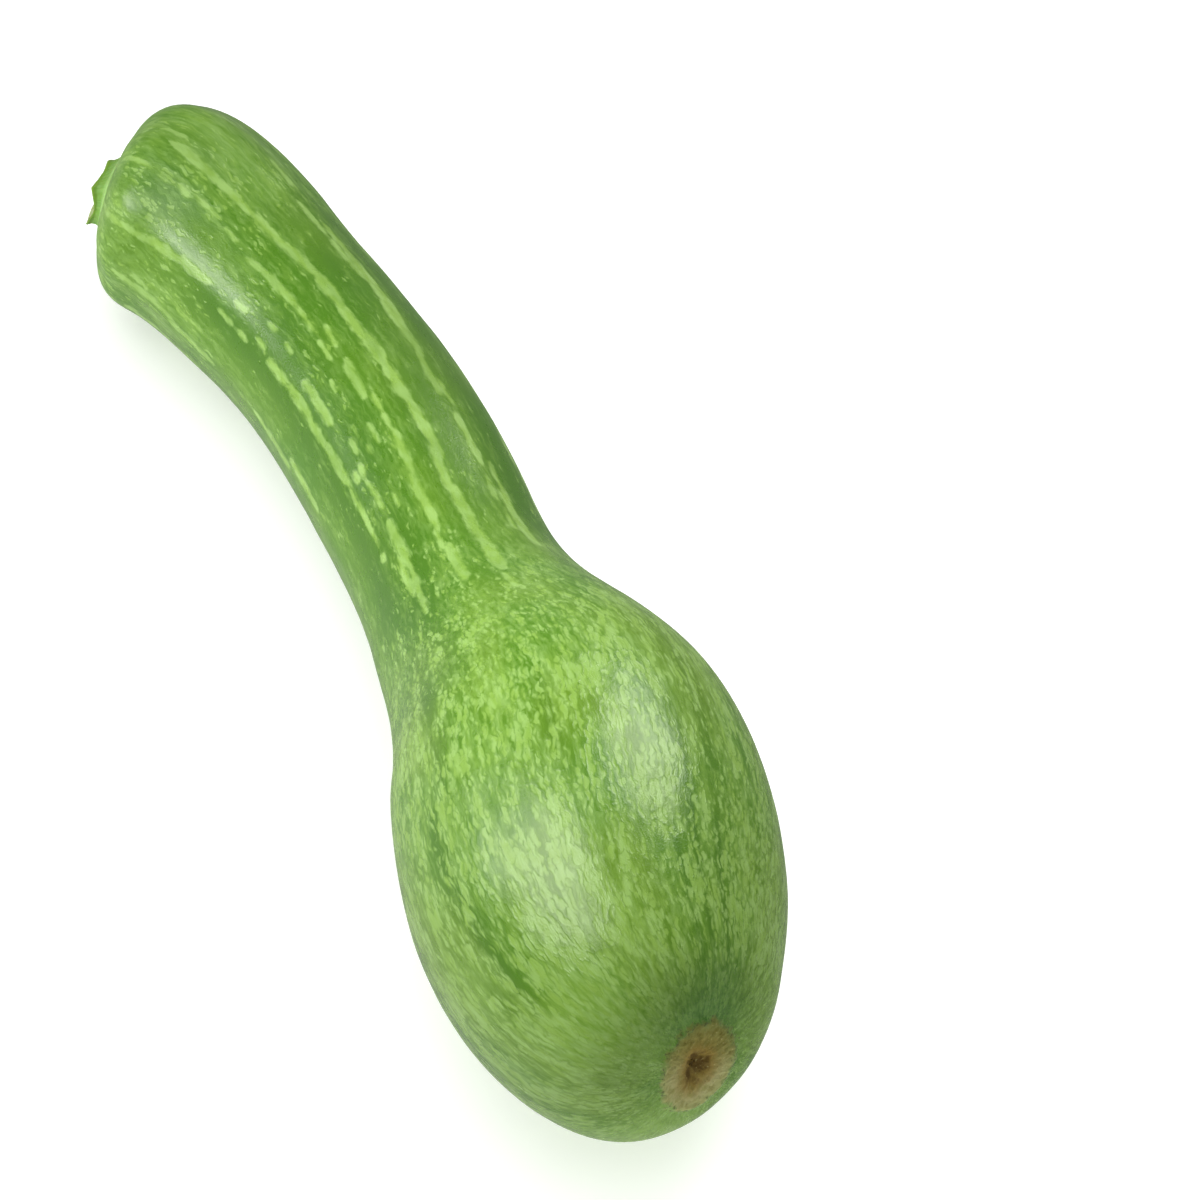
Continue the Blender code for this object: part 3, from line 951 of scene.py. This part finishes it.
def add_floor():
    mesh = bpy.data.meshes.new("floor")
    signs = ((-1, -1), (1, -1), (1, 1), (-1, 1))
    corners = [(FLOOR_HALF * x, FLOOR_HALF * y, 0.0) for x, y in signs]
    mesh.from_pydata(corners, [], [(0, 1, 2, 3)])
    g = Graph("white_sweep")
    reach = g.node("ShaderNodeVectorMath", operation="LENGTH")
    g.tree.links.new(g.node("ShaderNodeTexCoord").outputs["Object"], reach.inputs[0])
    # The glow is painted light, dimmed by ambient occlusion next to the squash into a painted shadow.
    occlusion = g.node("ShaderNodeAmbientOcclusion", {"Distance": SHADE_REACH}, samples=8)
    painted_glow = g.ramp(occlusion.outputs["AO"], 0.25, 0.85, SHADED_GLOW, OPEN_GLOW)
    growth = g.ramp(reach.outputs["Value"], GROWTH_FROM, GROWTH_TO, 0.0, GLOW_GROWTH)
    painted_glow = g.math("ADD", painted_glow, growth)
    g.set(Base_Color=(0.80, 0.80, 0.80, 1.0), Roughness=0.9, Specular_IOR_Level=0.0)
    g.set(Emission_Color=(1.0, 1.0, 1.0, 1.0), Emission_Strength=painted_glow)
    floor = make_object("floor", mesh, g.material)
    floor.location.z = -FLOOR_DROP
    floor.visible_glossy = False


def direction(turn, climb):
    """The direction at a compass angle and a height angle."""
    return Vector((np.cos(turn) * np.cos(climb), np.sin(turn) * np.cos(climb), np.sin(climb)))


def add_window(name, target, azimuth, elevation, distance, size, radiance, spread, shadow):
    """A soft window of light that faces a point of the squash from a direction in degrees."""
    away = direction(np.radians(azimuth), np.radians(elevation))
    data = bpy.data.lights.new(name, "AREA")
    data.shape = "RECTANGLE"
    data.size, data.size_y = size
    data.spread = np.radians(spread)
    data.energy = radiance * np.pi * size[0] * size[1]
    data.use_shadow = shadow
    lamp = bpy.data.objects.new(name, data)
    lamp.location = Vector(target) + away * distance
    lamp.rotation_mode = "QUATERNION"
    lamp.rotation_quaternion = away.to_track_quat("Z", "Y")
    lamp.visible_camera = False
    bpy.context.scene.collection.objects.link(lamp)


def add_world():
    """A white studio all round, whose strength is graded by direction."""
    world = bpy.data.worlds.new("studio")
    world.use_nodes = True
    nodes, links = world.node_tree.nodes, world.node_tree.links
    coordinates = nodes.new("ShaderNodeTexCoord")
    parts = nodes.new("ShaderNodeSeparateXYZ")
    links.new(coordinates.outputs["Generated"], parts.inputs[0])
    grades = []
    for axis, low, high, start, end in WORLD_GRADES:
        grade = nodes.new("ShaderNodeMapRange")
        links.new(parts.outputs[axis], grade.inputs["Value"])
        settings = {"From Min": low, "From Max": high, "To Min": start, "To Max": end}
        for key, value in settings.items():
            grade.inputs[key].default_value = value
        grades.append(grade.outputs["Result"])
    below, above, share = grades
    blend = nodes.new("ShaderNodeMix")
    links.new(share, blend.inputs[0])
    links.new(below, blend.inputs[2])
    links.new(above, blend.inputs[3])
    background = nodes["Background"]
    background.inputs["Color"].default_value = (1.0, 1.0, 1.0, 1.0)
    links.new(blend.outputs[0], background.inputs["Strength"])
    bpy.context.scene.world = world


def add_camera():
    data = bpy.data.cameras.new("camera")
    data.lens = CAMERA_LENS
    data.sensor_width = SENSOR_WIDTH
    data.clip_start = 0.05
    camera = bpy.data.objects.new("camera", data)
    away = direction(CAMERA_AZIMUTH, CAMERA_ELEVATION)
    camera.location = Vector(CAMERA_TARGET) + away * CAMERA_DISTANCE
    camera.rotation_mode = "QUATERNION"
    camera.rotation_quaternion = (-away).to_track_quat("-Z", "Y")
    bpy.context.scene.collection.objects.link(camera)
    bpy.context.scene.camera = camera


def frame_shift(body):
    """The move from the curves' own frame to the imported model's."""
    angles = np.linspace(0.0, 2.0 * np.pi, SURVEY_ANGLES, endpoint=False)
    along = np.repeat(body.samples[::SURVEY_STEP, None], len(angles), axis=1)
    centre, sideways, upward, forward = body.frame(along)
    outward = np.cos(angles)[:, None] * sideways + np.sin(angles)[:, None] * upward
    points = (centre + body.radius(along)[..., None] * outward).reshape(-1, 3)
    low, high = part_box("fruit")
    middle = (np.array(low) + np.array(high)) / 2.0
    shift = middle - (points.min(axis=0) + points.max(axis=0)) / 2.0
    shift[2] = -FLAT_HEIGHT
    return shift


def main():
    body = Body()
    shift = frame_shift(body)
    rind = make_rind(body, shift, rind_material())
    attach(rind, "root")
    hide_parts("fruit")
    stem = make_stem(body, shift, stem_material())
    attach(stem, "root")
    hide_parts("stem")
    add_floor()
    for name, settings in WINDOWS.items():
        add_window(name, *settings)
    add_world()
    add_camera()
    bpy.context.scene.view_settings.view_transform = "Standard"


main()
